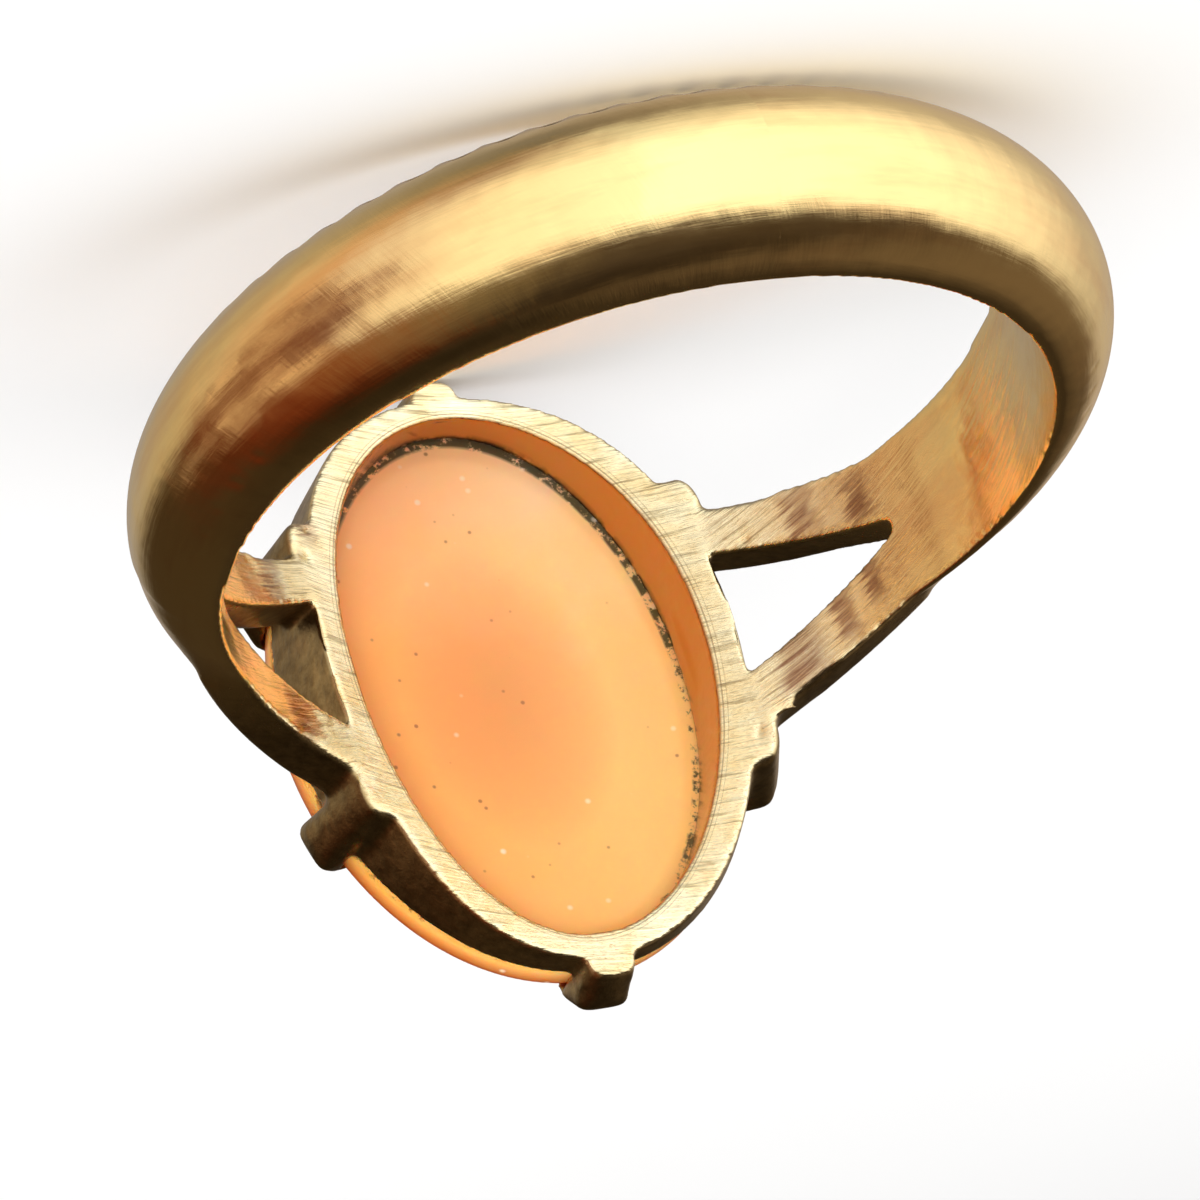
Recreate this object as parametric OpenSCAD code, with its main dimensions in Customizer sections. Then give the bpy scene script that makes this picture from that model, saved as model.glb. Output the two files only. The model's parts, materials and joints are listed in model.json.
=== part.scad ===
// A gold ring with split shoulders and an open-backed oval setting, whose six
// claws hold a carved shell cameo. It lies on its side, as it would on a table.

/* [Finger hole] */
// Inside diameter of the ring
finger_d = 17.2; // [16:0.1:19]

/* [Band] */
// Width of the band at the palm
palm_w = 3.85; // [3.7:0.05:4.8]
// Width of the band where it splits
shoulder_w = 3.55; // [3.2:0.05:3.9]
// Thickness of the domed crown at the palm
palm_t = 2.1; // [1.8:0.05:2.6]
// Thickness of the domed crown at the sides of the finger
side_t = 1.55; // [1.3:0.05:1.8]
// Height of the flat edges under the dome
edge_t = 0.25; // [0.2:0.05:0.6]

/* [Split shoulders] */
// Thickness of the two arms where they meet the setting
arm_t = 1.4; // [1.1:0.05:1.8]
// Thickness that the arms' outer face leaves at the sides of the finger
arm_start_t = 0.48; // [0.4:0.02:0.6]
// Distance across both arms where they meet the setting
arm_spread = 5.5; // [5.2:0.05:6]
// Width of the gap between the arms where it meets the setting
gap_w = 3; // [2:0.1:3.2]
// Angle from the middle of the cameo to the point of the gap
split_angle = 60; // [56:1:66]
// Radius of the rounded point of the gap
gap_tip_r = 0.15; // [0.1:0.05:0.3]

/* [Setting] */
// Height of the seat above the finger hole
seat_h = 0.9; // [0.7:0.05:1.4]
// How far the seat stands out past the sides of the cameo
seat_side = 0.025; // [0:0.025:0.15]
// How far the seat stands out past the ends of the cameo
seat_end = 0.15; // [0.05:0.05:0.3]
// Width of the ledge under the sides of the cameo, inside its edge
ledge_side = 1.225; // [1.1:0.025:1.5]
// Width of the ledge under the ends of the cameo, inside its edge
ledge_end = 0.35; // [0.25:0.05:0.6]
// Thickness of the setting's wall at its back, at the sides
wall_side = 0.575; // [0.45:0.025:0.75]
// Thickness of the setting's wall at its back, at the ends
wall_end = 0.75; // [0.6:0.05:0.9]

/* [Claws] */
// Width of a claw
claw_w = 1.2; // [1:0.1:1.6]
// Thickness of an end claw outside the cameo's rim
end_claw_t = 0.95; // [0.8:0.05:1.2]
// Thickness of a side claw outside the cameo's rim
side_claw_t = 0.75; // [0.6:0.05:1]
// Slant of a claw's outer face towards its lug
claw_slant = 15; // [8:1:20]
// Lean of the four side claws towards the middle of the cameo
claw_lean = 9; // [0:1:12]
// How far a claw's tip bends in over the rim
claw_reach = 0.55; // [0.4:0.05:0.7]
// Thickness of a claw's tip over the rim
claw_tip_t = 0.3; // [0.2:0.05:0.6]
// Distance along the cameo from its middle to each side claw
claw_place = 2.9; // [2.7:0.1:3.6]
// Radius of a claw's corners
claw_corner_r = 0.25; // [0.1:0.05:0.35]

/* [Cameo] */
// Width of the cameo
cameo_w = 10.4; // [10:0.05:10.7]
// Length of the cameo
cameo_l = 13.7; // [13.4:0.1:14]
// Thickness of the cameo's rim
rim_t = 0.9; // [0.8:0.05:1.5]
// Radius of the rim's edges
rim_round = 0.25; // [0.1:0.05:0.35]
// Rise of the ground from the rim to the middle
dome_h = 0.45; // [0.2:0.05:0.8]
// Height of the carved rose above the ground
relief_h = 1.1; // [0.6:0.05:1.6]
// Depth of the hollow in the cameo's back
hollow_h = 0.4; // [0.2:0.05:0.6]
// Width of the plain border round the carving
border_w = 0.75; // [0.6:0.05:1.2]

/* [Fit] */
// Gap between the cameo and the metal round it
clearance = 0.06; // [0.04:0.01:0.12]

/* [Hidden] */

gold = "#d9b765";
shell = "#f3b27a";

// Longer than the whole ring, for cuts that go right through
far = 30;
// How far metal that is joined or cut away later runs on past its edge
sink = 0.3;
$fn = 96;

finger_r = finger_d / 2;
seat_z = finger_r + seat_h;
rim_z = seat_z + clearance + rim_t;

// The setting flares from its back to the seat, and its opening goes straight through
seat_w = cameo_w + 2 * seat_side;
seat_l = cameo_l + 2 * seat_end;
opening_w = cameo_w - 2 * ledge_side;
opening_l = cameo_l - 2 * ledge_end;
frame_w = opening_w + 2 * wall_side;
frame_l = opening_l + 2 * wall_end;

// The crown is turned about a line a little towards the palm, so it is thicker there
crown_shift = palm_t - side_t;
crown_r = finger_r + side_t;
crown_rise = palm_t - edge_t;
crown_arc_r = (pow(palm_w / 2, 2) + pow(crown_rise, 2)) / (2 * crown_rise);
palm_edge_z = finger_r + edge_t;

// The arms' outer face is turned about a line nearer the cameo, so they thicken towards it
arm_angle = asin(frame_w / 2 / finger_r);
arm_shift = (arm_t - arm_start_t) / cos(arm_angle);
arm_slope = (arm_spread - shoulder_w) / 2 / (finger_r * (sin(split_angle) - sin(arm_angle)));

// The gap is sawn square to the arms, half way along them
gap_aim = (split_angle + arm_angle) / 2;
gap_point = finger_r * sin(split_angle - gap_aim) - gap_tip_r;
gap_mouth = -gap_point - gap_tip_r;
gap_slope = (gap_w / 2 - gap_tip_r) / (gap_point - gap_mouth);
gap_overrun = 1.5;

// The wall starts below its lowest points, which are at the two sides of the setting
frame_z = sqrt(pow(finger_r, 2) - pow(frame_w / 2, 2)) - sink;

// The arms and claws end inside the wall of the setting, clear of its opening
root_margin = 0.05;
root_x = oval_x(opening_w, opening_l, gap_w / 2) + root_margin;
end_root_share = 0.2;
end_root = ledge_end - end_root_share * wall_end;
side_root_share = 0.5;
side_root = oval_x(cameo_w, cameo_l, claw_place)
    - (1 - side_root_share) * oval_x(opening_w, opening_l, claw_place)
    - side_root_share * oval_x(frame_w, frame_l, claw_place);

// Side view of a claw's outer face from a height up, as [distance past the cameo, height]
claw_top_z = rim_z + claw_tip_t;
claw_knee_share = 0.33;
claw_top_share = 0.1;
function claw_face(thick, low_z) = [
    [thick - tan(claw_slant) * (seat_z - low_z), low_z],
    [thick, seat_z],
    [thick, seat_z + claw_knee_share * rim_t],
    [claw_top_share * thick, claw_top_z]
];

// Carved rose, from its outer petals in: [how many, first angle, radius as a share of
// half the cameo's width, height in the hollow and at the edge as shares of relief_h]
ROSE = [
    [6, 0, 0.6, 0.15, 0.4],
    [5, 33, 0.45, 0.38, 0.62],
    [4, 10, 0.3, 0.6, 0.84],
    [3, 55, 0.16, 0.8, 1]
];
petal_notch = 0.14;
petal_soft = 0.3;

// Height of one ring of petals, which are hollow and rise to scalloped edges
function petals_h(row, r, a) =
    let (edge_r = row[2] * cameo_w / 2 * (1 - petal_notch * (1 - abs(cos(row[0] * (a - row[1]) / 2)))))
    r < edge_r
        ? row[3] + (row[4] - row[3]) * pow(r / edge_r, 3)
        : row[4] * max(0, 1 - (r - edge_r) / petal_soft);

function rose_h(x, y) = max([for (row = ROSE) petals_h(row, norm([x, y]), atan2(y, x))]);

// Leaves of one quarter: [across and along as shares of half the cameo's width and length,
// direction, half length and half width as shares of half the width, height]
LEAVES = [
    [0, 0.62, 90, 0.27, 0.15, 0.55],
    [0.32, 0.5, 55, 0.26, 0.14, 0.5],
    [0.58, 0.31, 35, 0.2, 0.12, 0.42]
];
rib_w = 0.2;
rib_share = 0.3;

// Height of a pointed leaf with a groove along its middle
function leaf_h(row, x, y) =
    let (half = cameo_w / 2)
    let (dx = x - row[0] * half, dy = y - row[1] * cameo_l / 2)
    let (u = (dx * cos(row[2]) + dy * sin(row[2])) / (row[3] * half))
    let (v = abs(dy * cos(row[2]) - dx * sin(row[2])))
    let (half_w = row[4] * half * (1 - u * u))
    abs(u) >= 1 || v >= half_w
        ? 0
        : row[5] * (1 - pow(v / half_w, 2)) * (1 - pow(u, 4)) * (1 - rib_share * max(0, 1 - v / rib_w));

function leaves_h(x, y) = max([for (row = LEAVES) leaf_h(row, abs(x), abs(y))]);

// How far out a point lies, from 0 in the middle to 1 on the rim
function share_out(x, y) = sqrt(pow(2 * x / cameo_w, 2) + pow(2 * y / cameo_l, 2));

// Height of the cameo's front at a point
function front_z(x, y) =
    let (field = 1 - 2 * border_w / cameo_w)
    let (ground = dome_h * max(0, 1 - pow(share_out(x, y) / field, 2)))
    rim_z + ground + relief_h * max(rose_h(x, y), leaves_h(x, y));

// Height of the cameo's hollow back at a point
hollow_margin = 0.3;
function back_z(x, y) =
    let (field = (opening_w / 2 - hollow_margin) / (cameo_w / 2))
    seat_z + clearance + hollow_h * max(0, 1 - pow(share_out(x, y) / field, 2));

SECTORS = 112;
FRONT_RINGS = 30;
BACK_RINGS = 5;
inner_share = 0.02;

// Rings are round in the middle, where they follow the rose, and oval at the rim
function oval_point(share, sector, z) =
    let (a = 360 * sector / SECTORS, length = cameo_w + (cameo_l - cameo_w) * pow(share, 2))
    [share * cameo_w / 2 * cos(a), share * length / 2 * sin(a), z];

// The place of a ring of points, from 0 in the middle to 1 where the rim's edge starts to round
function ring_share(place) = max(inner_share, place * (1 - 2 * rim_round / cameo_w));

// Rings of points from the middle of the back, round the rim, to the middle of the front
cameo_rings = concat(
    [for (i = [0 : BACK_RINGS])
        [for (k = [0 : SECTORS - 1])
            let (p = oval_point(ring_share(i / BACK_RINGS), k, 0)) [p[0], p[1], back_z(p[0], p[1])]]],
    [for (z = [seat_z + clearance + rim_round, rim_z - rim_round])
        [for (k = [0 : SECTORS - 1]) oval_point(1, k, z)]],
    [for (i = [FRONT_RINGS : -1 : 0])
        [for (k = [0 : SECTORS - 1])
            let (p = oval_point(ring_share(i / FRONT_RINGS), k, 0)) [p[0], p[1], front_z(p[0], p[1])]]]
);

// The ring rests on a corner of one end claw and on the round of the palm beside its edge
palm_arc_z = finger_r + palm_t - crown_arc_r;
end_claw_face = claw_face(end_claw_t, finger_r);
lay_tilt = max([for (corner = end_claw_face)
    let (out = cameo_l / 2 + corner[0], up = corner[1] + palm_arc_z)
    acos(crown_arc_r / norm([out, up])) - atan2(up, out)]);
lay_lift = palm_arc_z * sin(lay_tilt) + crown_arc_r;
palm_reach = palm_arc_z * cos(lay_tilt) + crown_arc_r;
claw_front_reach = max([for (corner = end_claw_face)
    -lay_y([0, -cameo_l / 2 - corner[0], corner[1]])]);
cameo_front_reach = max([for (ring = cameo_rings) for (p = ring) -lay_y(p)]);
lay_slide = (max(cameo_front_reach, claw_front_reach) - palm_reach) / 2;

// How far a point of the upright ring lies from front to back once it is laid down
function lay_y(p) = p[1] * sin(lay_tilt) - p[2] * cos(lay_tilt);

// Half the width of an oval at a distance along it from its middle
function oval_x(w, l, y) = w / 2 * sqrt(1 - pow(2 * y / l, 2));

// Direction square to an oval's edge, from its width towards its length
function oval_turn(w, l, y) = atan2(y / pow(l, 2), oval_x(w, l, y) / pow(w, 2));

// Stands the ring's own frame, finger along Y and cameo up, on its side
module laid_down() {
    translate([0, lay_slide, lay_lift]) rotate([90 - lay_tilt, 0, 0]) children();
}

module oval(w, l, h) {
    scale([w / 2, l / 2, 1]) cylinder(r = 1, h = h);
}

// The finger itself, along Y
module finger(extra = 0) {
    rotate([90, 0, 0]) cylinder(r = finger_r + extra, h = 2 * far, center = true);
}

// Domed band with flat edges, narrower towards the cameo
module band() {
    inner_r = finger_r - crown_shift - sink;
    intersection() {
        translate([0, 0, -crown_shift]) rotate([90, 0, 0]) rotate_extrude() intersection() {
            translate([inner_r, -palm_w / 2]) square([crown_r - inner_r, palm_w]);
            translate([crown_r - crown_arc_r, 0]) circle(r = crown_arc_r);
        }
        rotate([90, 0, 90]) linear_extrude(2 * far, center = true) polygon([
            for (side = [-1, 1], end = [0, 1])
                let (up = side > 0 ? end : 1 - end)
                let (z = up > 0 ? far : -finger_r - palm_t)
                let (share = (z + palm_edge_z) / (palm_edge_z + finger_r * cos(split_angle)))
                [side * (palm_w + (shoulder_w - palm_w) * share) / 2, z]
        ]);
    }
}

// Plan of both arms on one side, as a wedge that widens towards the setting
module arm_plan() {
    inner_x = root_x - sink;
    outer_x = finger_r + arm_t;
    inner_w = arm_spread / 2 + arm_slope * (frame_w / 2 - inner_x);
    outer_w = arm_spread / 2 - arm_slope * (outer_x - frame_w / 2);
    polygon([[inner_x, -inner_w], [outer_x, -outer_w], [outer_x, outer_w], [inner_x, inner_w]]);
}

// Gap between two arms, a long triangle with a rounded point
module arm_gap() {
    mouth = gap_mouth - gap_overrun;
    mouth_w = gap_tip_r + gap_slope * (gap_point - mouth);
    rotate([0, gap_aim, 0]) linear_extrude(far) {
        polygon([[gap_point, -gap_tip_r], [gap_point, gap_tip_r], [mouth, mouth_w], [mouth, -mouth_w]]);
        translate([gap_point, 0]) circle(r = gap_tip_r);
    }
}

// Split shoulders on both sides
module arms() {
    for (side = [0, 1]) mirror([side, 0, 0]) intersection() {
        translate([0, 0, arm_shift]) finger(arm_start_t);
        linear_extrude(far) arm_plan();
    }
}

// Open wall of the setting, which flares from its back to the seat
module frame_wall() {
    difference() {
        translate([0, 0, frame_z]) linear_extrude(seat_z - frame_z, slices = 1,
            scale = [seat_w / frame_w, seat_l / frame_l])
            scale([frame_w / 2, frame_l / 2]) circle(r = 1);
        oval(opening_w, opening_l, far);
    }
}

// Plan of a claw, a bar with rounded corners; X points away from the cameo
module claw_plan(thick, root) {
    flat_w = claw_w - 2 * claw_corner_r;
    translate([-root, -claw_w / 2]) square([root + thick - claw_corner_r, claw_w]);
    translate([-root, -flat_w / 2]) square([root + thick, flat_w]);
    for (y = [-1, 1]) translate([thick - claw_corner_r, y * flat_w / 2]) circle(r = claw_corner_r);
}

// One claw: a lug on the setting's back, a slanting post and a tip bent over the rim.
// Its inner face steps from the root to the tip's reach, inside the metal or the cameo's space
module claw(x, y, turn, lean, thick, root) {
    low_z = sqrt(pow(finger_r, 2) - pow(abs(x) + thick * abs(cos(turn)), 2)) - sink;
    step_z = seat_z + (root > claw_reach ? -sink : sink);
    translate([x, y, seat_z]) rotate(turn) rotate([lean, 0, 0]) translate([0, 0, -seat_z])
        intersection() {
            linear_extrude(far) claw_plan(thick, max(root, claw_reach));
            rotate([90, 0, 0]) linear_extrude(2 * claw_w, center = true) polygon(concat(
                claw_face(thick, low_z),
                [[-claw_reach / 2, claw_top_z], [-claw_reach, rim_z + claw_tip_t / 2]],
                [[-claw_reach, step_z], [-root, step_z], [-root, low_z]]
            ));
        }
}

module claws() {
    side_x = oval_x(cameo_w, cameo_l, claw_place);
    side_turn = oval_turn(cameo_w, cameo_l, claw_place);
    for (end = [-1, 1]) claw(0, end * cameo_l / 2, end * 90, 0, end_claw_t, end_root);
    for (x = [-1, 1], y = [-1, 1])
        claw(x * side_x, y * claw_place, x > 0 ? y * side_turn : 180 - y * side_turn,
            x * y * claw_lean, side_claw_t, side_root);
}

// Space that the cameo fills between the seat and the claws' tips
module cameo_pocket() {
    translate([0, 0, seat_z])
        oval(cameo_w + 2 * clearance, cameo_l + 2 * clearance, rim_z - seat_z + clearance);
}

// One casting of band, split shoulders, oval setting and six claws
module ring_mount() {
    color(gold) laid_down() difference() {
        union() {
            difference() {
                union() {
                    band();
                    arms();
                }
                for (side = [0, 1]) mirror([side, 0, 0]) arm_gap();
                translate([0, 0, far / 2]) cube([2 * root_x, far, far], center = true);
            }
            frame_wall();
            claws();
        }
        finger();
        cameo_pocket();
    }
}

// Carved shell: an oval with a hollow back, a rounded rim and a raised rose
module cameo() {
    rows = len(cameo_rings);
    points = [for (ring = cameo_rings) for (p = ring) p];
    color(shell) laid_down() polyhedron(
        points = points,
        faces = concat(
            [[for (k = [0 : SECTORS - 1]) k]],
            [for (i = [0 : rows - 2]) for (k = [0 : SECTORS - 1]) for (half = [0, 1])
                let (a = i * SECTORS + k, b = i * SECTORS + (k + 1) % SECTORS)
                half == 0 ? [a, a + SECTORS, b] : [b, a + SECTORS, b + SECTORS]],
            [[for (k = [SECTORS - 1 : -1 : 0]) (rows - 1) * SECTORS + k]]
        )
    );
}

ring_mount();
cameo();
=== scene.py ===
import json
import math

import bpy
from mathutils import Matrix, Vector


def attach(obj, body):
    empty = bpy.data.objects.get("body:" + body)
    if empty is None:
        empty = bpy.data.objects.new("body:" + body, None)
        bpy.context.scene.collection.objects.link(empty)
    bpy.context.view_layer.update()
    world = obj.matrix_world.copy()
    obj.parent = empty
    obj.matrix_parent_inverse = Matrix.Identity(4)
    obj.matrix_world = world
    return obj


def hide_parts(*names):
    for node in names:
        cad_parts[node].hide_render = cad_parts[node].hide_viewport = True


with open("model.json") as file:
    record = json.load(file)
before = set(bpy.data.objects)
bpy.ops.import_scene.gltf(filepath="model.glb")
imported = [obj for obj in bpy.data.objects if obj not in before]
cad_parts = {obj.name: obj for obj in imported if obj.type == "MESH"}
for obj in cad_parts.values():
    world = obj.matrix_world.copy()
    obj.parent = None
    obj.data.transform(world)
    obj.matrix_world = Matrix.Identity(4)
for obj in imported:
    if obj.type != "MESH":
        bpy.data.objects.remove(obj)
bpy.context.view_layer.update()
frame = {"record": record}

# The band is a bar of nine carat gold, domed outside, bent to a hoop on a steel mandrel. It is
# widest at the palm. Both edges of its dome carry a row of small cut scallops.

# The mount is modelled standing, in millimetres, with X across the finger, Y along the finger and
# Z out of the cameo's face, from the middle of the finger hole. It is laid on its side at the end.
bore = frame["record"]["mounts"][0]
finger_r = bore["dims"]["r_mm"]
palm_w = 3.85
shoulder_w = 3.55
palm_t = 2.1
side_t = 1.55
edge_t = 0.25
split_angle = math.radians(60)
crown_shift = palm_t - side_t
crown_rise = palm_t - edge_t
crown_arc_r = ((palm_w / 2) ** 2 + crown_rise ** 2) / (2 * crown_rise)
crown_line_r = finger_r + side_t - crown_arc_r
rod_l = 30


def pick(*pieces):
    """Selects these pieces and nothing else. The first one is the active one."""
    if bpy.context.mode != "OBJECT":
        bpy.ops.object.mode_set(mode="OBJECT")
    bpy.ops.object.select_all(action="DESELECT")
    for piece in pieces:
        piece.select_set(True)
    bpy.context.view_layer.objects.active = pieces[0]


def set_in_place(piece):
    """Puts a piece's place, turn and scale into its mesh."""
    pick(piece)
    bpy.ops.object.transform_apply(location=True, rotation=True, scale=True)
    return piece


def finger_rod(radius, centre_z=0):
    """A rod along the finger, as thick as the finger hole or an outer face."""
    bpy.ops.mesh.primitive_cylinder_add(vertices=360, radius=radius, depth=rod_l,
                                        location=(0, 0, centre_z), rotation=(math.pi / 2, 0, 0))
    return set_in_place(bpy.context.object)


finger = finger_rod(finger_r)
bpy.ops.mesh.primitive_torus_add(location=(0, 0, -crown_shift), rotation=(math.pi / 2, 0, 0),
                                 major_segments=360, minor_segments=96,
                                 major_radius=crown_line_r, minor_radius=crown_arc_r)
band = set_in_place(bpy.context.object)

# A wedge, wider at the palm than at the shoulders, trims the dome's edges
band_top_z = finger_r + side_t
band_low_z = -finger_r - palm_t
taper = (palm_w - shoulder_w) / (finger_r * math.cos(split_angle) + finger_r + edge_t)
low_w = palm_w + taper * (palm_t - edge_t)
top_w = low_w - taper * (band_top_z - band_low_z)
bpy.ops.mesh.primitive_cube_add(size=1, location=(0, 0, (band_top_z + band_low_z) / 2),
                                scale=(3 * finger_r, low_w, band_top_z - band_low_z))
wedge = set_in_place(bpy.context.object)


def choose(piece, kind, test):
    """Opens a piece for editing, with only the vertices, edges or faces selected that pass a test."""
    pick(piece)
    bpy.ops.object.mode_set(mode="EDIT")
    bpy.ops.mesh.select_mode(type=kind)
    bpy.ops.mesh.select_all(action="DESELECT")
    bpy.ops.object.mode_set(mode="OBJECT")
    parts = {"VERT": piece.data.vertices, "EDGE": piece.data.edges, "FACE": piece.data.polygons}[kind]
    for part in parts:
        part.select = test(part)
    bpy.ops.object.mode_set(mode="EDIT")


def looks_up(face):
    """Whether a face points straight up."""
    return face.normal.z > 0.9


def modify(piece, kind, **settings):
    """Adds a modifier with its settings and applies it."""
    pick(piece)
    bpy.ops.object.modifier_add(type=kind)
    modifier = piece.modifiers[-1]
    for name, value in settings.items():
        setattr(modifier, name, value)
    bpy.ops.object.modifier_apply(modifier=modifier.name)


def discard(*pieces):
    """Takes tools and models away that are no longer needed."""
    for piece in pieces:
        bpy.data.objects.remove(piece)


choose(wedge, "FACE", looks_up)
bpy.ops.transform.resize(value=(1, top_w / low_w, 1))
bpy.ops.object.mode_set(mode="OBJECT")
modify(band, "BOOLEAN", object=wedge, operation="INTERSECT", solver="EXACT")
discard(wedge)

# The row on the side of +Y is worn to a third of its size, and is worn away at the palm
scallop_pitch = 0.85
scallop_size = (0.3, 0.32, 0.2)
scallop_worn = {-1: 1, 1: 0.35}
scallop_sink = 0.02
scallop_turn = math.radians(55)
scallop_end = math.radians(112)
worn_smooth = math.radians(66)
scallop_line_r = crown_line_r + crown_arc_r * math.cos(scallop_turn)
scallop_y = crown_arc_r * math.sin(scallop_turn)
scallop_count = 2 * round(scallop_end * scallop_line_r / scallop_pitch)


def copy_of(piece):
    """A copy of a piece, with its own mesh."""
    pick(piece)
    bpy.ops.object.duplicate()
    return bpy.context.object


def fuse(name, pieces):
    """Joins pieces into one object."""
    pick(*pieces)
    if len(pieces) > 1:
        bpy.ops.object.join()
    pieces[0].name = name
    return pieces[0]


def cut(piece, *tools):
    """Cuts a piece with one tool after another. The tools stay."""
    for tool in tools:
        modify(piece, "BOOLEAN", object=tool, operation="DIFFERENCE", solver="EXACT")


bpy.ops.mesh.primitive_uv_sphere_add(segments=16, ring_count=8, radius=1, location=(0, 0, 0),
                                     scale=scallop_size)
scallop = set_in_place(bpy.context.object)
scallops = []
for side, share in scallop_worn.items():
    line_r = scallop_line_r + scallop_sink * math.cos(scallop_turn)
    line_y = side * (scallop_y + scallop_sink * math.sin(scallop_turn))
    for k in range(scallop_count + 1):
        place = scallop_end * (2 * k / scallop_count - 1)
        if side == 1 and abs(place) < worn_smooth:
            continue
        one = copy_of(scallop)
        one.matrix_world = (Matrix.Translation((0, 0, -crown_shift)) @ Matrix.Rotation(-place, 4, "Y")
                            @ Matrix.Translation((0, line_y, -line_r))
                            @ Matrix.Rotation(side * scallop_turn, 4, "X") @ Matrix.Scale(share, 4))
        scallops.append(set_in_place(one))
scallops = fuse("scallops", scallops)
cut(band, scallops, finger)
discard(scallop, scallops)

# The shoulders are the band's two ends, sawn down the middle and spread, so that two arms with
# a long gap between them carry the setting. Lines are engraved along the arms' outer faces.
arm_t = 1.4
arm_start_t = 0.48
arm_spread = 5.5
arm_round = 0.3
gap_w = 3
gap_tip_r = 0.15
gap_low_z = 1
gap_high_z = 15
gap_past_middle = 1.5
frame_w = 9.1
opening_w = 7.95
opening_l = 13
root_margin = 0.05
line_w = 0.18
line_depth = 0.13
line_shares = (0.3, 0.62)
near = 0.02

arm_angle = math.asin(frame_w / 2 / finger_r)
arm_shift = (arm_t - arm_start_t) / math.cos(arm_angle)
arm_run = finger_r * (math.sin(split_angle) - math.sin(arm_angle))
arm_slope = (arm_spread - shoulder_w) / 2 / arm_run
root_x = opening_w / 2 * math.sqrt(1 - (gap_w / opening_l) ** 2) + root_margin


def trim(piece, point, outwards):
    """Cuts off all that lies beyond a plane and closes the cut."""
    choose(piece, "VERT", lambda vertex: True)
    bpy.ops.mesh.bisect(plane_co=point, plane_no=outwards, use_fill=True, clear_outer=True)
    bpy.ops.object.mode_set(mode="OBJECT")


arms = finger_rod(finger_r + arm_start_t, arm_shift)
trim(arms, (0, 0, 0), (-1, 0, 0))
trim(arms, (0, 0, 0), (0, 0, -1))
for side in (-1, 1):
    trim(arms, (frame_w / 2, side * arm_spread / 2, 0), (arm_slope, side, 0))


def on_outer_edge(edge):
    """Whether an edge runs along the corner between the arms' outer face and a side."""
    ends = [arms.data.vertices[i].co for i in edge.vertices]
    outer = all(math.hypot(end.x, end.z - arm_shift) > finger_r + arm_start_t - near for end in ends)
    return outer and ends[0].y * ends[1].y > 0


choose(arms, "EDGE", on_outer_edge)
bpy.ops.mesh.bevel(offset=arm_round, segments=5, affect="EDGES", clamp_overlap=False)
bpy.ops.object.mode_set(mode="OBJECT")
trim(arms, (root_x, 0, 0), (-1, 0, 0))

bpy.ops.mesh.primitive_cube_add(size=1, location=(0, 0, 0), scale=(2 * arm_run, line_w, 2 * finger_r))
line = set_in_place(bpy.context.object)
lines = []
for side in (-1, 1):
    for share in line_shares:
        start_y = side * (gap_w / 2 + share * (arm_spread - gap_w) / 2)
        end_y = side * (gap_tip_r + share * (shoulder_w / 2 - gap_tip_r))
        one = copy_of(line)
        one.location = (frame_w / 2 + arm_run / 2, (start_y + end_y) / 2, finger_r)
        one.rotation_euler = (0, 0, math.atan2(end_y - start_y, arm_run))
        lines.append(set_in_place(one))
lines = fuse("lines", lines)
line_floor = finger_rod(finger_r + arm_start_t - line_depth, arm_shift)
cut(lines, line_floor)
cut(arms, lines, finger)
discard(line, lines, line_floor)

gap_aim = (split_angle + arm_angle) / 2
gap_point = finger_r * math.sin(split_angle - gap_aim)
gap_slope = (gap_w / 2 - gap_tip_r) / (2 * gap_point - gap_tip_r)
gap_mouth = -gap_point - gap_past_middle
mouth_w = gap_tip_r + gap_slope * (gap_point - gap_tip_r - gap_mouth)
bpy.ops.mesh.primitive_cube_add(size=1,
                                location=((gap_mouth + gap_point) / 2, 0, (gap_low_z + gap_high_z) / 2),
                                scale=(gap_point - gap_mouth, 2 * gap_tip_r, gap_high_z - gap_low_z))
gap = set_in_place(bpy.context.object)
choose(gap, "FACE", lambda face: face.normal.x < -0.9)
bpy.ops.transform.resize(value=(1, mouth_w / gap_tip_r, 1))


def on_gap_tip(edge):
    """Whether an edge is an upright corner at the gap's narrow end."""
    ends = [gap.data.vertices[i].co for i in edge.vertices]
    return all(end.x > 0 for end in ends) and ends[0].y * ends[1].y > 0


choose(gap, "EDGE", on_gap_tip)
bpy.ops.mesh.bevel(offset=0.95 * gap_tip_r, segments=8, affect="EDGES")
bpy.ops.object.mode_set(mode="OBJECT")
gap.rotation_euler = (0, gap_aim, 0)
set_in_place(gap)


def mirrored(piece, axis):
    """A copy of a piece on the other side of the middle, with its faces outwards."""
    copy = copy_of(piece)
    copy.scale[axis] = -1
    set_in_place(copy)
    choose(copy, "FACE", lambda face: True)
    bpy.ops.mesh.normals_make_consistent(inside=False)
    bpy.ops.object.mode_set(mode="OBJECT")
    return copy


cut(arms, gap)
arms = [arms, mirrored(arms, 0)]
gaps = [gap, mirrored(gap, 0)]
bpy.ops.mesh.primitive_cube_add(size=1, location=(0, 0, 10), scale=(2 * root_x, 20, 20))
head_room = bpy.context.object
cut(band, *gaps, head_room)
discard(*gaps, head_room)

# The setting is an open oval wall that flares to a seat for the cameo. It is soldered between
# the arms, and its back is filed to the curve of the finger.
frame_l = 14.5
seat_h = 0.9
seat_w = 10.45
seat_l = 14
seat_z = finger_r + seat_h
overrun = 0.3
frame_z = math.sqrt(finger_r ** 2 - (frame_w / 2) ** 2) - overrun


def oval_rod(width, length, low_z, high_z):
    """An upright rod with an oval plan."""
    bpy.ops.mesh.primitive_cylinder_add(vertices=256, radius=0.5, depth=high_z - low_z,
                                        location=(0, 0, (low_z + high_z) / 2), scale=(width, length, 1))
    return set_in_place(bpy.context.object)


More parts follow.
